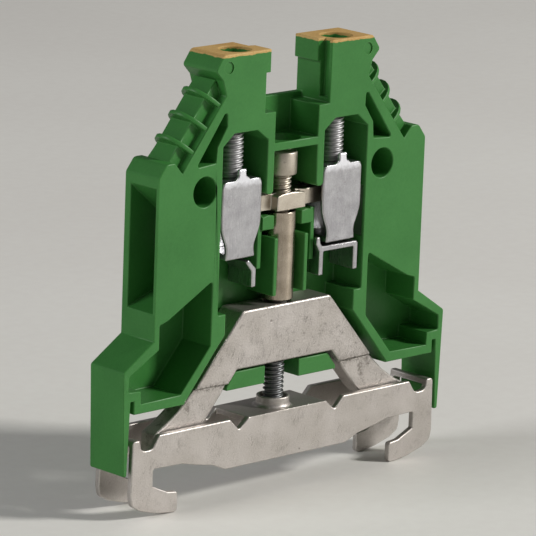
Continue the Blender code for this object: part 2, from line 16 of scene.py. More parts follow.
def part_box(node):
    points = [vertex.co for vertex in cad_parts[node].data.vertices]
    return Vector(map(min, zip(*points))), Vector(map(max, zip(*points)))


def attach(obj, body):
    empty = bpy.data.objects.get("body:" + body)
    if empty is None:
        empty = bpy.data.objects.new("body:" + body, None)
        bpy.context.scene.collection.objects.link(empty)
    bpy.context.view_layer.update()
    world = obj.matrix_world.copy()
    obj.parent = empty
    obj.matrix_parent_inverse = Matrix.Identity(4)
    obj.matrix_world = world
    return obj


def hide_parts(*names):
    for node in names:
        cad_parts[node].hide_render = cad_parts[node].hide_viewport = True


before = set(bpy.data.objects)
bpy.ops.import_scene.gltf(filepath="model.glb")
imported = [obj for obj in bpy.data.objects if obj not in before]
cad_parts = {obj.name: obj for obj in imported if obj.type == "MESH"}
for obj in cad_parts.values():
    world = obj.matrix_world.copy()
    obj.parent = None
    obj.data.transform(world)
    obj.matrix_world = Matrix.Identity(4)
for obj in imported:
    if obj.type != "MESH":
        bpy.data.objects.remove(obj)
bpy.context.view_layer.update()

MM = 0.001
print("nodes:", sorted(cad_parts))

# %% [markdown]
# ## The camera
# A small product is shot with a long lens from some way off, so its upright edges stay almost
# parallel. The camera is set as it would be on a tripod: how far round, how high, how far
# away and which lens. Its aim is just beside the middle of the housing and the foot together.

# %% set the camera
housing_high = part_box("housing")[1]
foot_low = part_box("rail_foot")[0]
object_centre = Vector((0, 0, (housing_high.z + foot_low.z) / 2))

CAMERA_ROUND = math.radians(-44.2)
CAMERA_UP = math.radians(13.38)
CAMERA_ROLL = math.radians(2.14)
CAMERA_DISTANCE = 0.4435
CAMERA_LENS = 303.3
CAMERA_AIM = object_centre + Vector((-0.55, 0.38, -0.48)) * MM


def place_camera():
    looking = Vector(
        (
            -math.sin(CAMERA_ROUND) * math.cos(CAMERA_UP),
            math.cos(CAMERA_ROUND) * math.cos(CAMERA_UP),
            -math.sin(CAMERA_UP),
        )
    )
    data = bpy.data.cameras.new("studio_camera")
    data.lens = CAMERA_LENS
    data.clip_start = 0.02
    data.clip_end = 10
    camera = bpy.data.objects.new("studio_camera", data)
    turn = looking.to_track_quat("-Z", "Y").to_matrix().to_4x4()
    roll = Matrix.Rotation(CAMERA_ROLL, 4, "Z")
    camera.matrix_world = Matrix.Translation(CAMERA_AIM - looking * CAMERA_DISTANCE) @ turn @ roll
    bpy.context.scene.collection.objects.link(camera)
    bpy.context.scene.camera = camera
    return camera


camera = place_camera()
print("camera at", [round(value, 4) for value in camera.location])

# %% [markdown]
# ## Building materials from nodes
# Every surface here is a node material. A few effects come back on plastic and metal alike:
# cloudy tone, worn edges with a painted highlight, scratches and pits. Each is made once as a node
# group with named sockets and put out as a mask, and the shader itself stays in the material.
# These helpers keep each group down to the lines that matter.

# %% node helpers
COLOUR_SOCKETS = (0, 6, 7)
COLOUR_RESULT = 2


def feed(tree, socket, value):
    """Gives a socket another socket's output, or a plain value."""
    if isinstance(value, bpy.types.NodeSocket):
        tree.links.new(value, socket)
    else:
        socket.default_value = value


def add_node(tree, kind, settings=None, **inputs):
    """A node with its settings and input values; an underscore in a name stands for a space."""
    made = tree.nodes.new(kind)
    for name, value in (settings or {}).items():
        setattr(made, name, value)
    for name, value in inputs.items():
        feed(tree, made.inputs[name.replace("_", " ")], value)
    return made


def maths(tree, operation, first, second=0.0, clamp=False):
    made = tree.nodes.new("ShaderNodeMath")
    made.operation = operation
    made.use_clamp = clamp
    for socket, value in zip(made.inputs, (first, second)):
        feed(tree, socket, value)
    return made.outputs[0]


def between(tree, value, low, high, to_low=0.0, to_high=1.0):
    """A value carried from one range to another and clamped there."""
    made = add_node(tree, "ShaderNodeMapRange", Value=value)
    made.inputs["From Min"].default_value = low
    made.inputs["From Max"].default_value = high
    made.inputs["To Min"].default_value = to_low
    made.inputs["To Max"].default_value = to_high
    return made.outputs["Result"]


def mix_colour(tree, factor, first, second):
    """The first colour where the factor is 0, and the second where it is 1."""
    made = tree.nodes.new("ShaderNodeMix")
    made.data_type = "RGBA"
    for index, value in zip(COLOUR_SOCKETS, (factor, first, second)):
        feed(tree, made.inputs[index], value)
    return made.outputs[COLOUR_RESULT]


def new_group(name, inputs, outputs):
    """An empty shader group with float inputs and outputs, and its two end nodes."""
    group = bpy.data.node_groups.new(name, "ShaderNodeTree")
    for label, default in inputs.items():
        socket = group.interface.new_socket(label, in_out="INPUT", socket_type="NodeSocketFloat")
        socket.default_value = default
    for label in outputs:
        group.interface.new_socket(label, in_out="OUTPUT", socket_type="NodeSocketFloat")
    return group, group.nodes.new("NodeGroupInput"), group.nodes.new("NodeGroupOutput")


def use_group(tree, group, **inputs):
    made = tree.nodes.new("ShaderNodeGroup")
    made.node_tree = group
    for name, value in inputs.items():
        feed(tree, made.inputs[name.replace("_", " ")], value)
    return made


def place_in_millimetres(tree):
    """The point on the piece, in millimetres, so that every pattern's scale is a real size."""
    where = tree.nodes.new("ShaderNodeTexCoord")
    scaled = add_node(tree, "ShaderNodeVectorMath", {"operation": "SCALE"})
    tree.links.new(where.outputs["Object"], scaled.inputs[0])
    scaled.inputs["Scale"].default_value = 1 / MM
    return scaled.outputs[0]


def height_of(tree, place):
    """How high the point lies, in millimetres."""
    parts = tree.nodes.new("ShaderNodeSeparateXYZ")
    tree.links.new(place, parts.inputs[0])
    return parts.outputs["Z"]


def drawn_lines(tree, place, stretch):
    """A noise stretched by a different scale along each axis, which makes fine lines."""
    drawn = add_node(tree, "ShaderNodeVectorMath", {"operation": "MULTIPLY"})
    tree.links.new(place, drawn.inputs[0])
    drawn.inputs[1].default_value = stretch
    noise = add_node(tree, "ShaderNodeTexNoise", Vector=drawn.outputs[0], Scale=1.0, Detail=3.0)
    return noise.outputs[0]


def scaled_by(tree, value, share):
    return maths(tree, "MULTIPLY", value, share)


print("node helpers ready")

# %% [markdown]
# ## Cloudy tone
# No part leaves a factory in one even tone. Plastic has slow flow marks, and plating is thicker
# here and thinner there. Two noises, one slow and one quick, are mixed into one mask that runs
# from 0 to 1, and a material decides what that mask does.

# %% group: cloudy tone


def make_cloudy_tone():
    group, given, out = new_group("cloudy_tone", {"Patch Size": 4.0, "Speck Size": 0.3}, ["Tone"])
    place = place_in_millimetres(group)
    slow_scale = maths(group, "DIVIDE", 1.0, given.outputs["Patch Size"])
    quick_scale = maths(group, "DIVIDE", 1.0, given.outputs["Speck Size"])
    slow = add_node(group, "ShaderNodeTexNoise", Vector=place, Scale=slow_scale, Detail=3.0)
    quick = add_node(group, "ShaderNodeTexNoise", Vector=place, Scale=quick_scale, Detail=2.0)
    slow_part = maths(group, "MULTIPLY", slow.outputs[0], 0.65)
    quick_part = maths(group, "MULTIPLY", quick.outputs[0], 0.35)
    both = maths(group, "ADD", slow_part, quick_part)
    group.links.new(between(group, both, 0.34, 0.66), out.inputs["Tone"])
    return group


cloudy_tone = make_cloudy_tone()
print("group made:", cloudy_tone.name)

# %% [markdown]
# ## Worn edges and painted edge highlights
# Handling rubs a moulding's edges and a stamping's corners, and a rounded edge catches light. This
# mask stands for both: the materials paint edges lighter, partly as wear and partly as a painted
# highlight, on hollow edges as well as outer ones. The Bevel node gives the normal that a rounder
# edge would have. Where that differs from the real face normal, an edge is near. Noise breaks the
# line up, because wear is never even.

# %% group: worn edges and painted edge highlights


def make_worn_edges_and_highlight():
    group, given, out = new_group("worn_edges_and_highlight", {"Width": 0.2, "Raggedness": 0.5}, ["Edge"])
    radius = maths(group, "MULTIPLY", given.outputs["Width"], MM)
    round_normal = add_node(group, "ShaderNodeBevel", {"samples": 6}, Radius=radius)
    face = group.nodes.new("ShaderNodeNewGeometry")
    match = add_node(group, "ShaderNodeVectorMath", {"operation": "DOT_PRODUCT"})
    group.links.new(round_normal.outputs[0], match.inputs[0])
    group.links.new(face.outputs["True Normal"], match.inputs[1])
    near = between(group, match.outputs["Value"], 0.995, 0.80)
    place = place_in_millimetres(group)
    ragged = add_node(group, "ShaderNodeTexNoise", Vector=place, Scale=2.2, Detail=4.0)
    holes = between(group, ragged.outputs[0], 0.38, 0.58)
    kept = maths(group, "SUBTRACT", 1.0, given.outputs["Raggedness"])
    broken = maths(group, "MULTIPLY", holes, given.outputs["Raggedness"])
    amount = maths(group, "ADD", kept, broken)
    group.links.new(maths(group, "MULTIPLY", near, amount, clamp=True), out.inputs["Edge"])
    return group


worn_edges_and_highlight = make_worn_edges_and_highlight()
print("group made:", worn_edges_and_highlight.name)

# %% [markdown]
# ## Scratches and pits
# A scratch is a long thin mark, so it is the narrow middle band of a noise that is stretched
# along one direction. A pit is a small round spot, so it is the centre of some of a Voronoi
# pattern's cells. Both give a mask for the colour and a height for the bump.

# %% groups: scratches and pits


def make_scratches():
    sockets = {"Across": 6.0, "Along": 0.5, "Lean": 0.3, "Amount": 0.5}
    group, given, out = new_group("scratches", sockets, ["Mark", "Height"])
    place = place_in_millimetres(group)
    turn = add_node(group, "ShaderNodeVectorRotate", {"rotation_type": "Y_AXIS"})
    group.links.new(place, turn.inputs["Vector"])
    group.links.new(given.outputs["Lean"], turn.inputs["Angle"])
    stretch = group.nodes.new("ShaderNodeCombineXYZ")
    group.links.new(given.outputs["Along"], stretch.inputs["X"])
    group.links.new(given.outputs["Across"], stretch.inputs["Y"])
    group.links.new(given.outputs["Across"], stretch.inputs["Z"])
    drawn = add_node(group, "ShaderNodeVectorMath", {"operation": "MULTIPLY"})
    group.links.new(turn.outputs[0], drawn.inputs[0])
    group.links.new(stretch.outputs[0], drawn.inputs[1])
    streak = add_node(group, "ShaderNodeTexNoise", Vector=drawn.outputs[0], Scale=1.0, Detail=3.0)
    off_middle = maths(group, "ABSOLUTE", maths(group, "SUBTRACT", streak.outputs[0], 0.5))
    line = between(group, off_middle, 0.012, 0.0)
    where = add_node(group, "ShaderNodeTexNoise", Vector=place, Scale=0.45, Detail=2.0)
    shown = between(group, where.outputs[0], 0.42, 0.60)
    mark = maths(group, "MULTIPLY", maths(group, "MULTIPLY", line, shown), given.outputs["Amount"])
    group.links.new(mark, out.inputs["Mark"])
    group.links.new(maths(group, "MULTIPLY", mark, -1.0), out.inputs["Height"])
    return group


def make_pits():
    group, given, out = new_group("pits", {"Spacing": 0.8, "Size": 0.25, "Share": 0.4}, ["Pit", "Height"])
    place = place_in_millimetres(group)
    wobble = add_node(group, "ShaderNodeTexNoise", Vector=place, Scale=3.0, Detail=3.0)
    shift = add_node(group, "ShaderNodeVectorMath", {"operation": "SCALE"})
    group.links.new(wobble.outputs["Color"], shift.inputs[0])
    shift.inputs["Scale"].default_value = 0.5
    moved = add_node(group, "ShaderNodeVectorMath", {"operation": "ADD"})
    group.links.new(place, moved.inputs[0])
    group.links.new(shift.outputs[0], moved.inputs[1])
    scale = maths(group, "DIVIDE", 1.0, given.outputs["Spacing"])
    cells = add_node(group, "ShaderNodeTexVoronoi", Vector=moved.outputs[0], Scale=scale)
    reach = maths(group, "DIVIDE", given.outputs["Size"], given.outputs["Spacing"])
    inside = maths(group, "SUBTRACT", reach, cells.outputs["Distance"])
    spot = between(group, inside, 0.0, 0.08)
    parts_of = group.nodes.new("ShaderNodeSeparateColor")
    group.links.new(cells.outputs["Color"], parts_of.inputs[0])
    chosen = maths(group, "LESS_THAN", parts_of.outputs[0], given.outputs["Share"])
    pit = maths(group, "MULTIPLY", spot, chosen)
    group.links.new(pit, out.inputs["Pit"])
    group.links.new(maths(group, "MULTIPLY", pit, -1.0), out.inputs["Height"])
    return group


scratches = make_scratches()
pits = make_pits()
print("groups made:", scratches.name, pits.name)

# %% [markdown]
# ## The material's shell
# Each material starts the same way: a Principled shader, a bump fed by a height in millimetres,
# and constant values set on the shader's own sockets. What differs from one surface to the next
# comes in afterwards.

# %% start a material


def start_material(name, roughness, metallic):
    material = bpy.data.materials.new(name)
    material.use_nodes = True
    tree = material.node_tree
    shader = tree.nodes["Principled BSDF"]
    shader.inputs["Roughness"].default_value = roughness
    shader.inputs["Metallic"].default_value = metallic
    return material, tree, shader


def add_bump(tree, shader, height, depth, strength=1.0):
    """Feeds a height of 0 to 1 to the shader's normal, where 1 stands for depth in millimetres."""
    bump = add_node(tree, "ShaderNodeBump", Height=height)
    bump.inputs["Strength"].default_value = strength
    bump.inputs["Distance"].default_value = depth * MM
    tree.links.new(bump.outputs[0], shader.inputs["Normal"])


def linear(red, green, blue):
    """A colour given as 0 to 255, for a shader that works in linear light."""
    parts = []
    for value in (red, green, blue):
        share = value / 255
        parts.append(share / 12.92 if share <= 0.04045 else ((share + 0.055) / 1.055) ** 2.4)
    return (*parts, 1.0)


print("material shell ready")

# %% [markdown]
# ## Green moulded plastic with printed tops
# The housing is a satin polyamide moulding. It is not glossy: the tool's spark-eroded face
# leaves a very fine grain, and the tone drifts slowly where the plastic flowed. The tops of both
# pillars are printed ochre, and the ink just runs over the edge. The print is a matter of
# height, so the same material covers it: above a line that wobbles a little, the ink takes over.

# %% material: moulded green
GREEN = linear(62, 129, 60)
GREEN_DEEP = linear(54, 118, 53)
GREEN_WORN_AND_HIGHLIT = linear(92, 158, 84)
OCHRE = linear(214, 180, 116)
OCHRE_DARK = linear(190, 150, 88)
INK_DEPTH = 0.28
INK_WOBBLE = 0.35
INK_BLUR = 0.03


def make_moulded_green():
    material, tree, shader = start_material("green_polyamide", 0.5, 0.0)
    shader.inputs["Specular IOR Level"].default_value = 0.3
    tone = use_group(tree, cloudy_tone, Patch_Size=5.0, Speck_Size=0.25).outputs["Tone"]
    edge = use_group(tree, worn_edges_and_highlight, Width=0.22, Raggedness=0.45).outputs["Edge"]
    mark = use_group(tree, scratches, Across=2.6, Along=0.35, Lean=0.9, Amount=0.5)
    plastic = mix_colour(tree, tone, GREEN_DEEP, GREEN)
    # painted highlight and wear: every edge, hollow ones too, is painted a paler green; scratches use the
    # same paler green
    plastic = mix_colour(tree, scaled_by(tree, edge, 0.45), plastic, GREEN_WORN_AND_HIGHLIT)
    plastic = mix_colour(tree, scaled_by(tree, mark.outputs["Mark"], 0.25), plastic, GREEN_WORN_AND_HIGHLIT)
    place = place_in_millimetres(tree)
    ragged = add_node(tree, "ShaderNodeTexNoise", Vector=place, Scale=1.6, Detail=3.0)
    wobble = scaled_by(tree, maths(tree, "SUBTRACT", ragged.outputs[0], 0.5), INK_WOBBLE)
    level = maths(tree, "ADD", height_of(tree, place), wobble)
    ink_line = housing_high.z / MM - INK_DEPTH
    ink = between(tree, level, ink_line - INK_BLUR, ink_line + INK_BLUR)
    ochre = mix_colour(tree, tone, OCHRE_DARK, OCHRE)
    colour = mix_colour(tree, ink, plastic, ochre)
    tree.links.new(colour, shader.inputs["Base Color"])
    rough = between(tree, tone, 0.0, 1.0, 0.46, 0.38)
    rough = maths(tree, "ADD", rough, scaled_by(tree, ink, 0.12))
    tree.links.new(rough, shader.inputs["Roughness"])
    grain = add_node(tree, "ShaderNodeTexNoise", Vector=place, Scale=9.0, Detail=2.0)
    relief = maths(tree, "ADD", grain.outputs[0], mark.outputs["Height"])
    add_bump(tree, shader, relief, 0.012, 0.5)
    return material


moulded_green = make_moulded_green()
print("material made:", moulded_green.name)

# %% [markdown]
# ## Scuffed stampings
# The bridge and the foot are thick tinned stampings that were tumbled and fitted with a tool, so
# they are matt and pale, with darker bruises and pits. Their corners are painted near white, partly
# as rubbing and partly as a painted highlight. A rough metal shows the room as one soft tone, and the
# marks give it its life. Both pieces share one recipe, and the numbers make the bridge rougher than
# the foot.

# %% materials: scuffed bridge and foot
PALE_METAL = linear(207, 201, 197)
DULL_METAL = linear(187, 181, 175)
BRUISE = linear(104, 97, 90)
STAIN = linear(78, 70, 62)
STAIN_REACH = 0.55
RUBBED_AND_HIGHLIT = linear(240, 236, 230)


def stained_line(tree, place, height, half_width):
    """A ragged dark band at one height, such as a press tool leaves along a bend."""
    away = maths(tree, "ABSOLUTE", maths(tree, "SUBTRACT", height_of(tree, place), height))
    band = between(tree, away, half_width, 0.0)
    flecks = add_node(tree, "ShaderNodeTexNoise", Vector=place, Scale=3.2, Detail=6.0, Roughness=0.75)
    return maths(tree, "MULTIPLY", band, between(tree, flecks.outputs[0], 0.46, 0.62))


def make_scuffed(name, pit_share, pit_depth, bruise_strength, bend_height=None):
    material, tree, shader = start_material(name, 0.5, 1.0)
    tone = use_group(tree, cloudy_tone, Patch_Size=3.5, Speck_Size=0.13).outputs["Tone"]
    edge = use_group(tree, worn_edges_and_highlight, Width=0.3, Raggedness=0.8).outputs["Edge"]
    border = use_group(tree, worn_edges_and_highlight, Width=0.9, Raggedness=1.0).outputs["Edge"]
    pit = use_group(tree, pits, Spacing=1.9, Size=0.2, Share=pit_share)
    mark = use_group(tree, scratches, Across=4.5, Along=0.6, Lean=1.25, Amount=0.9)
    nick = use_group(tree, scratches, Across=9.0, Along=2.2, Lean=0.35, Amount=1.0)
    place = place_in_millimetres(tree)
    rub = add_node(tree, "ShaderNodeTexNoise", Vector=place, Scale=0.5, Detail=7.0, Roughness=0.72)
    bruise = between(tree, rub.outputs[0], 0.57, 0.66)
    speck = add_node(tree, "ShaderNodeTexNoise", Vector=place, Scale=5.5, Detail=3.0, Roughness=0.6)
    dark_speck = between(tree, speck.outputs[0], 0.64, 0.70)
    metal = mix_colour(tree, tone, DULL_METAL, PALE_METAL)
    for mask, strength in (
        (bruise, bruise_strength),
        (pit.outputs["Pit"], 0.7),
        (dark_speck, bruise_strength),
        (mark.outputs["Mark"], 0.45),
        (nick.outputs["Mark"], bruise_strength),
        (border, bruise_strength * 0.5),
    ):
        metal = mix_colour(tree, scaled_by(tree, mask, strength), metal, BRUISE)
    # painted highlight and wear: edges, hollow ones too, are painted near white
    metal = mix_colour(tree, scaled_by(tree, edge, 0.8), metal, RUBBED_AND_HIGHLIT)
    if bend_height:
        metal = mix_colour(tree, stained_line(tree, place, bend_height, STAIN_REACH), metal, STAIN)
    tree.links.new(metal, shader.inputs["Base Color"])
    rough = between(tree, tone, 0.0, 1.0, 0.54, 0.44)
    rough = maths(tree, "SUBTRACT", rough, scaled_by(tree, edge, 0.16))
    tree.links.new(rough, shader.inputs["Roughness"])
    grain = add_node(tree, "ShaderNodeTexNoise", Vector=place, Scale=5.0, Detail=4.0)
    relief = maths(tree, "ADD", grain.outputs[0], mark.outputs["Height"])
    relief = maths(tree, "ADD", relief, pit.outputs["Height"])
    add_bump(tree, shader, relief, pit_depth, 0.7)
    return material


BEND_HEIGHT = 11.55
scuffed_bridge = make_scuffed("scuffed_bridge", 0.35, 0.05, 0.6, BEND_HEIGHT)
scuffed_foot = make_scuffed("scuffed_foot", 0.12, 0.03, 0.18)
print("materials made:", scuffed_bridge.name, scuffed_foot.name)

# %% [markdown]
# ## Bright sheet
# The clamp cages and the leaves below them are bent from bright plated sheet. They stay shinier
# than the stampings, with fine drawing lines up and down and a few rubbed spots. A painted highlight
# runs along the rolled top, and the edges are painted lighter, partly as wear and partly as a painted
# highlight. Fine lines come from a noise stretched along Z, and they change the roughness and the bump.

# %% material: bright sheet
BRIGHT = linear(184, 184, 187)
BRIGHT_DULL = linear(158, 157, 161)
ROLLED_HIGHLIGHT = linear(228, 229, 235)
ROLLED_HIGHLIGHT_FROM = 31.5
ROLLED_HIGHLIGHT_TO = 32.1


def make_bright_sheet():
    material, tree, shader = start_material("bright_plate", 0.3, 1.0)
    tone = use_group(tree, cloudy_tone, Patch_Size=1.6, Speck_Size=0.15).outputs["Tone"]
    edge = use_group(tree, worn_edges_and_highlight, Width=0.16, Raggedness=0.3).outputs["Edge"]
    mark = use_group(tree, scratches, Across=5.0, Along=0.8, Lean=1.35, Amount=0.8)
    spot = use_group(tree, pits, Spacing=0.7, Size=0.1, Share=0.3)
    place = place_in_millimetres(tree)
    lines = drawn_lines(tree, place, (14.0, 14.0, 0.6))
    sheet = mix_colour(tree, tone, BRIGHT_DULL, BRIGHT)
    sheet = mix_colour(tree, scaled_by(tree, mark.outputs["Mark"], 0.45), sheet, BRUISE)
    sheet = mix_colour(tree, scaled_by(tree, spot.outputs["Pit"], 0.4), sheet, BRUISE)
    # painted highlight: a near-white band above a ragged height stands for the light on the rolled top
    ragged = add_node(tree, "ShaderNodeTexNoise", Vector=place, Scale=1.8, Detail=4.0)
    level = maths(tree, "ADD", height_of(tree, place), scaled_by(tree, ragged.outputs[0], 0.9))
    rolled_highlight = between(tree, level, ROLLED_HIGHLIGHT_FROM, ROLLED_HIGHLIGHT_TO)
    sheet = mix_colour(tree, rolled_highlight, sheet, ROLLED_HIGHLIGHT)
    # painted highlight and wear: edges, hollow ones too, are painted near white
    sheet = mix_colour(tree, edge, sheet, RUBBED_AND_HIGHLIT)
    tree.links.new(sheet, shader.inputs["Base Color"])
    tree.links.new(between(tree, lines, 0.3, 0.7, 0.24, 0.38), shader.inputs["Roughness"])
    relief = maths(tree, "ADD", lines, mark.outputs["Height"])
    add_bump(tree, shader, relief, 0.006, 0.6)
    return material


bright_sheet = make_bright_sheet()
print("material made:", bright_sheet.name)

# %% [markdown]
# ## Bar, sleeve and screws
# The conductor bar and the sleeve on the foot screw have a warm, slightly pink plating. The clamp
# screws are plain zinc. The foot screw is warm above the bridge and bare dark steel below it. One
# recipe serves all of them: two tones, a roughness, the grain's stretch and where the steel is bare.

# %% materials: warm bar and zinc screws
BAR = linear(206, 198, 184)
BAR_DULL = linear(178, 168, 154)
SLEEVE = linear(190, 178, 162)
SLEEVE_DULL = linear(162, 150, 134)
DARK_STEEL = linear(112, 114, 116)
STEEL_BLUR = 0.4
EVEN_GRAIN = (1.0, 1.0, 1.0)
ZINC = linear(190, 189, 191)
ZINC_DULL = linear(150, 149, 152)


def make_plated(name, dull, pale, roughness, stretch, dark_below=None):
    material, tree, shader = start_material(name, roughness, 1.0)
    tone = use_group(tree, cloudy_tone, Patch_Size=1.2, Speck_Size=0.12).outputs["Tone"]
    edge = use_group(tree, worn_edges_and_highlight, Width=0.1, Raggedness=0.4).outputs["Edge"]
    mark = use_group(tree, scratches, Across=6.0, Along=0.9, Lean=1.2, Amount=0.8)
    spot = use_group(tree, pits, Spacing=0.6, Size=0.12, Share=0.3)
    place = place_in_millimetres(tree)
    lines = drawn_lines(tree, place, stretch)
    metal = mix_colour(tree, tone, dull, pale)
    if dark_below:
        low, high = dark_below - STEEL_BLUR, dark_below + STEEL_BLUR
        metal = mix_colour(tree, between(tree, height_of(tree, place), high, low), metal, DARK_STEEL)
    metal = mix_colour(tree, scaled_by(tree, mark.outputs["Mark"], 0.4), metal, BRUISE)
    metal = mix_colour(tree, scaled_by(tree, spot.outputs["Pit"], 0.4), metal, BRUISE)
    # painted highlight and wear: edges, hollow ones too, are painted near white
    metal = mix_colour(tree, scaled_by(tree, edge, 0.7), metal, RUBBED_AND_HIGHLIT)
    tree.links.new(metal, shader.inputs["Base Color"])
    spread = between(tree, lines, 0.3, 0.7, roughness - 0.07, roughness + 0.07)
    tree.links.new(spread, shader.inputs["Roughness"])
    relief = maths(tree, "ADD", lines, mark.outputs["Height"])
    add_bump(tree, shader, relief, 0.006, 0.5)
    return material


warm_bar = make_plated("warm_bar", BAR_DULL, BAR, 0.36, (1.2, 8.0, 12.0))
warm_sleeve = make_plated("warm_sleeve", SLEEVE_DULL, SLEEVE, 0.26, (10.0, 10.0, 0.5))
zinc_screw = make_plated("zinc_screw", ZINC_DULL, ZINC, 0.5, EVEN_GRAIN)
bridge_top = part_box("rail_bridge")[1].z / MM
warm_screw = make_plated("warm_screw", BAR_DULL, BAR, 0.44, EVEN_GRAIN, bridge_top)
print("materials made:", warm_bar.name, warm_sleeve.name, zinc_screw.name, warm_screw.name)

# %% [markdown]
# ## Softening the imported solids
# A real moulding has a small radius on every edge, and so has a tumbled stamping. Without it an
# edge catches no light and the part looks like a drawing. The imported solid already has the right
# shape, so a copy of it is cleaned, flat faces are joined again, and a Bevel rounds what is
# sharp. Weighted normals keep the wide faces flat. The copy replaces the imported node.

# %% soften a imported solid
SHARP = math.radians(30)
FLAT = math.radians(1)
SAME_POINT = 0.002
ROOM_SHARE = 0.45
OUTSIDE = 0.001


def middle_of(edge):
    return (edge.verts[0].co + edge.verts[1].co) / 2 / MM


def is_sharp(edge):
    return edge.is_manifold and edge.calc_face_angle(0) > SHARP


def room_beside(edge):
    """How far the narrower of an edge's two faces reaches away from it, in millimetres."""
    start = edge.verts[0].co
    along = (edge.verts[1].co - start).normalized()
    reaches = []
    for face in edge.link_faces:
        across = along.cross(face.normal)
        reaches.append(max(abs((vert.co - start).dot(across)) for vert in face.verts))
    return min(reaches) / MM


def mark_edges(work, edge_width):
    """Gives a bevel weight to each sharp edge that has room for its rounding."""
    weight = work.edges.layers.float.new("bevel_weight_edge")
    sharp = [edge for edge in work.edges if is_sharp(edge)]
    marked = [edge for edge in sharp if ROOM_SHARE * room_beside(edge) > edge_width]
    for edge in marked:
        edge[weight] = 1
    return len(marked)


def bend_over(work, width, test):
    """Rounds the sharp edges that a test picks by their middles, as wide as a bend in sheet."""
    folds = [edge for edge in work.edges if is_sharp(edge) and test(middle_of(edge))]
    bmesh.ops.bevel(
        work,
        geom=folds,
        offset=width * MM,
        segments=4,
        profile=0.5,
        affect="EDGES",
        clamp_overlap=True,
    )
    return len(folds)


def finish_modifiers(piece):
    """Puts the result of a piece's modifiers in place of its mesh."""
    bpy.context.view_layer.update()
    graph = bpy.context.evaluated_depsgraph_get()
    finished = bpy.data.meshes.new_from_object(piece.evaluated_get(graph))
    piece.modifiers.clear()
    piece.data = finished


def hold_inside(piece, low, high):
    """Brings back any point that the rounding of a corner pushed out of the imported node's box."""
    moved = 0
    for vert in piece.data.vertices:
        held = Vector(min(max(value, floor), top) for value, floor, top in zip(vert.co, low, high))
        moved += (held - vert.co).length > OUTSIDE * MM
        vert.co = held
    return moved


def softened(name, node, body, material, edge_width, bend=0, bend_test=None):
    """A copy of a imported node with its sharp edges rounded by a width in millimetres."""
    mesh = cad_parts[node].data.copy()
    mesh.name = name
    work = bmesh.new()
    work.from_mesh(mesh)
    bmesh.ops.remove_doubles(work, verts=work.verts, dist=SAME_POINT * MM)
    bmesh.ops.dissolve_limit(work, angle_limit=FLAT, verts=work.verts, edges=work.edges)
    folds = bend_over(work, bend, bend_test) if bend_test else 0
    rounded = mark_edges(work, edge_width)
    work.to_mesh(mesh)
    work.free()
    mesh.materials.clear()
    mesh.materials.append(material)
    mesh.shade_smooth()
    mesh.set_sharp_from_angle(angle=SHARP)
    piece = bpy.data.objects.new(name, mesh)
    bpy.context.scene.collection.objects.link(piece)
    bevel = piece.modifiers.new("rounded_edges", "BEVEL")
    bevel.width = edge_width * MM
    bevel.segments = 2
    bevel.limit_method = "WEIGHT"
    bevel.use_clamp_overlap = False
    flatten = piece.modifiers.new("flat_faces", "WEIGHTED_NORMAL")
    flatten.keep_sharp = True
    flatten.weight = 100
    finish_modifiers(piece)
    moved = hold_inside(piece, *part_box(node))
    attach(piece, body)
    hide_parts(node)
    print(f"{name}: {rounded} edges rounded, {folds} folds, {moved} points brought back")
    return piece


# %% [markdown]
# ## The housing
# One tray of green polyamide holds everything. Its edges are small moulded radii, so a tenth of
# a millimetre is enough.

# %% make the housing
HOUSING_EDGE = 0.1
softened("housing_moulding", "housing", "block", moulded_green, HOUSING_EDGE)

# %% [markdown]
# ## Bridge and foot
# The bridge is a thick stamping with rounded shoulders on its punched side. The foot is folded
# from thinner sheet. Both get a rounder edge than the plastic.

# %% make the bridge and the foot
BRIDGE_EDGE = 0.16
FOOT_EDGE = 0.1
FOOT_FOLD = 0.7
FOLD_HEIGHT = 7.95


def on_the_fold(middle):
    """Whether an edge lies where the foot's sheet is folded over its middle web."""
    return abs(middle.z - FOLD_HEIGHT) < 0.05 and abs(middle.y) > 2.5 and abs(middle.x) < 5.0


softened(
    "rail_bridge_stamping",
    "rail_bridge",
    "block",
    scuffed_bridge,
    BRIDGE_EDGE,
)
softened(
    "rail_foot_folding",
    "rail_foot",
    "foot",
    scuffed_foot,
    FOOT_EDGE,
    FOOT_FOLD,
    on_the_fold,
)

# %% [markdown]
# ## The collar's flare
# The foot's thread is tapped in a collar that was drawn up out of the sheet, so it runs into the
# plate in a hollow curve. A ring with that curve is turned about the screw's line: a quarter
# circle of points, swept round.

# %% make the collar's flare
SCREW_LINE = Vector((0, -0.4, 0))
COLLAR_RADIUS = 1.65
FLARE = 0.42
FLARE_STEPS = 8
INSIDE_COLLAR = 0.1


def turned_ring(name, profile, centre, steps=40):
    """A closed profile of (radius, height) in millimetres, swept round an upright line."""
    work = bmesh.new()
    rings = []
    for index in range(steps):
        angle = 2 * math.pi * index / steps
        reach = Vector((math.cos(angle), math.sin(angle), 0))
        ring = [centre + reach * radius + Vector((0, 0, up)) for radius, up in profile]
        rings.append([work.verts.new(place * MM) for place in ring])
    for index, ring in enumerate(rings):
        following = rings[(index + 1) % steps]
        for point in range(len(profile)):
            after = (point + 1) % len(profile)
            work.faces.new((ring[point], following[point], following[after], ring[after]))
    bmesh.ops.recalc_face_normals(work, faces=work.faces)
    mesh = bpy.data.meshes.new(name)
    work.to_mesh(mesh)
    work.free()
    mesh.shade_smooth()
    mesh.set_sharp_from_angle(angle=SHARP)
    piece = bpy.data.objects.new(name, mesh)
    bpy.context.scene.collection.objects.link(piece)
    return piece


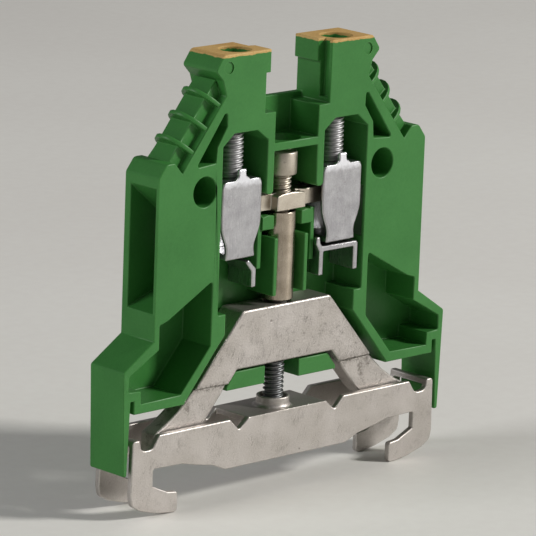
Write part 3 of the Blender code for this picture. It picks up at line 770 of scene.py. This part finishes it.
flare_profile = [(COLLAR_RADIUS - INSIDE_COLLAR, FOLD_HEIGHT - INSIDE_COLLAR)]
for step in range(FLARE_STEPS + 1):
    angle = math.pi / 2 * step / FLARE_STEPS
    outwards = COLLAR_RADIUS + FLARE - FLARE * math.sin(angle)
    flare_profile.append((outwards, FOLD_HEIGHT + FLARE - FLARE * math.cos(angle)))
flare_profile.append((COLLAR_RADIUS - INSIDE_COLLAR, FOLD_HEIGHT + FLARE))
flare = turned_ring("collar_flare", flare_profile, SCREW_LINE)
flare.data.materials.append(scuffed_foot)
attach(flare, "foot")
print("flare:", len(flare.data.polygons), "faces")

# %% [markdown]
# ## Bar, sleeve, cages and leaves
# These are small pieces of bar, tube and sheet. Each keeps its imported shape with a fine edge.

# %% make the bar, the sleeve and the clamps
BAR_EDGE = 0.1
SLEEVE_EDGE = 0.05
CAGE_EDGE = 0.14
CAGE_FOLD = 0.32
LEAF_EDGE = 0.1
YOKE_SHOULDER = 31.8


def on_the_shoulder(middle):
    """Whether an edge lies along the top of a cage's front, where the sheet is bent over."""
    return abs(middle.z - YOKE_SHOULDER) < 0.05 and middle.y < -2.0


softened("conductor_bar", "current_bar", "block", warm_bar, BAR_EDGE)
softened("sleeve_tube", "spacer_sleeve", "block", warm_sleeve, SLEEVE_EDGE)
for side in ("left", "right"):
    softened(
        f"clamp_cage_{side}",
        f"clamp_yoke_{side}",
        f"clamp_{side}",
        bright_sheet,
        CAGE_EDGE,
        CAGE_FOLD,
        on_the_shoulder,
    )
    softened(
        f"guard_leaf_{side}",
        f"wire_guard_{side}",
        f"clamp_{side}",
        bright_sheet,
        LEAF_EDGE,
    )

# %% [markdown]
# ## Screws with real threads
# A thread shows in outline against the dark clamp space, so it has to be geometry. A screw's
# surface is one grid: rings up the axis, and points round each ring. The radius at a point comes
# from how far up the helix it is, which is one formula for the whole shank. The head is more
# rings on the same grid, and a Boolean cuts its slot.

# %% make the screws
PITCH = 0.45
THREAD_DEPTH = 0.2
AROUND = 48
RINGS_PER_PITCH = 9
HEAD_EDGE = 0.12
SLOT_WIDTH = 0.5
SLOT_DEPTH = 0.6
SCREW_SHARP = math.radians(75)
CLAMP_HEAD_HEIGHT = 0.95
CLAMP_HEAD_STEP = 0.25
FOOT_HEAD_HEIGHT = 2.3
FOOT_HEAD_STEP = 0.5


def thread_height(turns):
    """How high the thread stands at a phase of the helix, from 0 in its root to 1 on its crest."""
    wave = 0.5 + 0.5 * math.cos(2 * math.pi * turns)
    return min(1.0, 1.15 * wave ** 1.2)


def screw_rings(tip, head_bottom, head_top, shank, head):
    """The rings as (height, radius, thread share), from the tip to the head's top."""
    step = PITCH / RINGS_PER_PITCH
    count = round((head_bottom - tip) / step)
    rings = []
    for index in range(count + 1):
        up = tip + (head_bottom - tip) * index / count
        fade_in = min(1.0, (up - tip) / 0.4)
        fade_out = min(1.0, (head_bottom - up) / 0.3)
        rings.append((up, shank - 0.28 * (1 - fade_in), min(fade_in, fade_out)))
    corner = HEAD_EDGE * (1 - math.sqrt(0.5))
    rings += [
        (head_bottom, head - HEAD_EDGE, 0),
        (head_bottom + corner, head - corner, 0),
        (head_bottom + HEAD_EDGE, head, 0),
        (head_top - HEAD_EDGE, head, 0),
        (head_top - corner, head - corner, 0),
        (head_top, head - HEAD_EDGE, 0),
    ]
    return rings


def threaded_screw(node, material, head_height, head_step):
    """A threaded screw in a packed screw's place, whose node and body share one name."""
    name = f"{node}_threaded"
    low, high = (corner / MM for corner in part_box(node))
    centre = (low + high) / 2
    head = (high.x - low.x) / 2
    rings = screw_rings(low.z, high.z - head_height, high.z, head - head_step, head)
    work = bmesh.new()
    grid = []
    for up, radius, share in rings:
        ring = []
        for index in range(AROUND):
            angle = 2 * math.pi * index / AROUND
            phase = (up - low.z) / PITCH - index / AROUND
            root = THREAD_DEPTH * share * (1 - thread_height(phase))
            reach = radius - root
            place = Vector((centre.x + reach * math.cos(angle), centre.y + reach * math.sin(angle), up))
            ring.append(work.verts.new(place * MM))
        grid.append(ring)
    for lower, upper in zip(grid, grid[1:]):
        for index in range(AROUND):
            after = (index + 1) % AROUND
            work.faces.new((lower[index], lower[after], upper[after], upper[index]))
    work.faces.new(list(reversed(grid[0])))
    work.faces.new(grid[-1])
    mesh = bpy.data.meshes.new(name)
    work.to_mesh(mesh)
    work.free()
    mesh.materials.append(material)
    mesh.shade_smooth()
    mesh.set_sharp_from_angle(angle=SCREW_SHARP)
    piece = bpy.data.objects.new(name, mesh)
    bpy.context.scene.collection.objects.link(piece)
    cut_slot(piece, centre, head, high.z)
    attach(piece, node)
    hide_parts(node)
    print(f"{name}: {len(rings)} rings, {len(mesh.polygons)} faces")
    return piece


def cut_slot(piece, centre, head, top):
    """Cuts a driver slot into a head's top with a block that is then removed."""
    work = bmesh.new()
    bmesh.ops.create_cube(work, size=1)
    mesh = bpy.data.meshes.new(piece.name + "_slot")
    work.to_mesh(mesh)
    work.free()
    mesh.transform(Matrix.Diagonal((3 * head * MM, SLOT_WIDTH * MM, 2 * SLOT_DEPTH * MM, 1)))
    mesh.transform(Matrix.Translation(Vector((centre.x, centre.y, top)) * MM))
    cutter = bpy.data.objects.new(piece.name + "_slot", mesh)
    bpy.context.scene.collection.objects.link(cutter)
    step = piece.modifiers.new("slot", "BOOLEAN")
    step.object = cutter
    step.operation = "DIFFERENCE"
    step.solver = "EXACT"
    finish_modifiers(piece)
    bpy.data.objects.remove(cutter)


for node in ("clamp_screw_left", "clamp_screw_right"):
    threaded_screw(node, zinc_screw, CLAMP_HEAD_HEIGHT, CLAMP_HEAD_STEP)
threaded_screw("foot_screw", warm_screw, FOOT_HEAD_HEIGHT, FOOT_HEAD_STEP)

# %% [markdown]
# ## Floor and light
# The block stands on a plain pale sheet. A small soft lamp in front and to the right does most of
# the work, so the hollows are dark and the faces towards the left are a little deeper. A larger
# lamp on the left and a faint pale room lift the shadows.

# %% floor and lamps
FLOOR_PALE = linear(240, 239, 234)
FLOOR_DULL = linear(234, 232, 227)
FLOOR_REACH = 3.0
UNDER_FOOT = 0.02


def make_floor():
    work = bmesh.new()
    bmesh.ops.create_grid(work, x_segments=1, y_segments=1, size=FLOOR_REACH)
    mesh = bpy.data.meshes.new("studio_floor")
    work.to_mesh(mesh)
    work.free()
    floor = bpy.data.objects.new("studio_floor", mesh)
    floor.location.z = foot_low.z - UNDER_FOOT * MM
    bpy.context.scene.collection.objects.link(floor)
    material, tree, shader = start_material("pale_sheet", 0.6, 0.0)
    tone = use_group(tree, cloudy_tone, Patch_Size=60.0, Speck_Size=1.5).outputs["Tone"]
    tree.links.new(mix_colour(tree, tone, FLOOR_DULL, FLOOR_PALE), shader.inputs["Base Color"])
    mesh.materials.append(material)


def add_lamp(name, towards, distance, size, power, colour):
    """A square soft lamp that looks at the middle of the object from a direction."""
    data = bpy.data.lights.new(name, "AREA")
    data.shape = "SQUARE"
    data.size = size
    data.energy = power
    data.color = colour
    lamp = bpy.data.objects.new(name, data)
    direction = Vector(towards).normalized()
    lamp.location = object_centre + direction * distance
    lamp.rotation_euler = direction.to_track_quat("Z", "Y").to_euler()
    bpy.context.scene.collection.objects.link(lamp)


def light_room(strength, colour):
    world = bpy.data.worlds.new("pale_room")
    world.use_nodes = True
    ground = world.node_tree.nodes["Background"]
    ground.inputs["Color"].default_value = (*colour, 1)
    ground.inputs["Strength"].default_value = strength
    bpy.context.scene.world = world


make_floor()
add_lamp("key_lamp", (0.62, -0.66, 0.50), 0.9, 0.14, 6.7, (1.0, 0.985, 0.95))
add_lamp("left_lamp", (-0.85, 0.25, 0.50), 1.1, 0.5, 4.6, (0.98, 0.99, 1.0))
light_room(0.12, (1.0, 0.97, 0.98))
bpy.context.scene.view_settings.view_transform = "Standard"
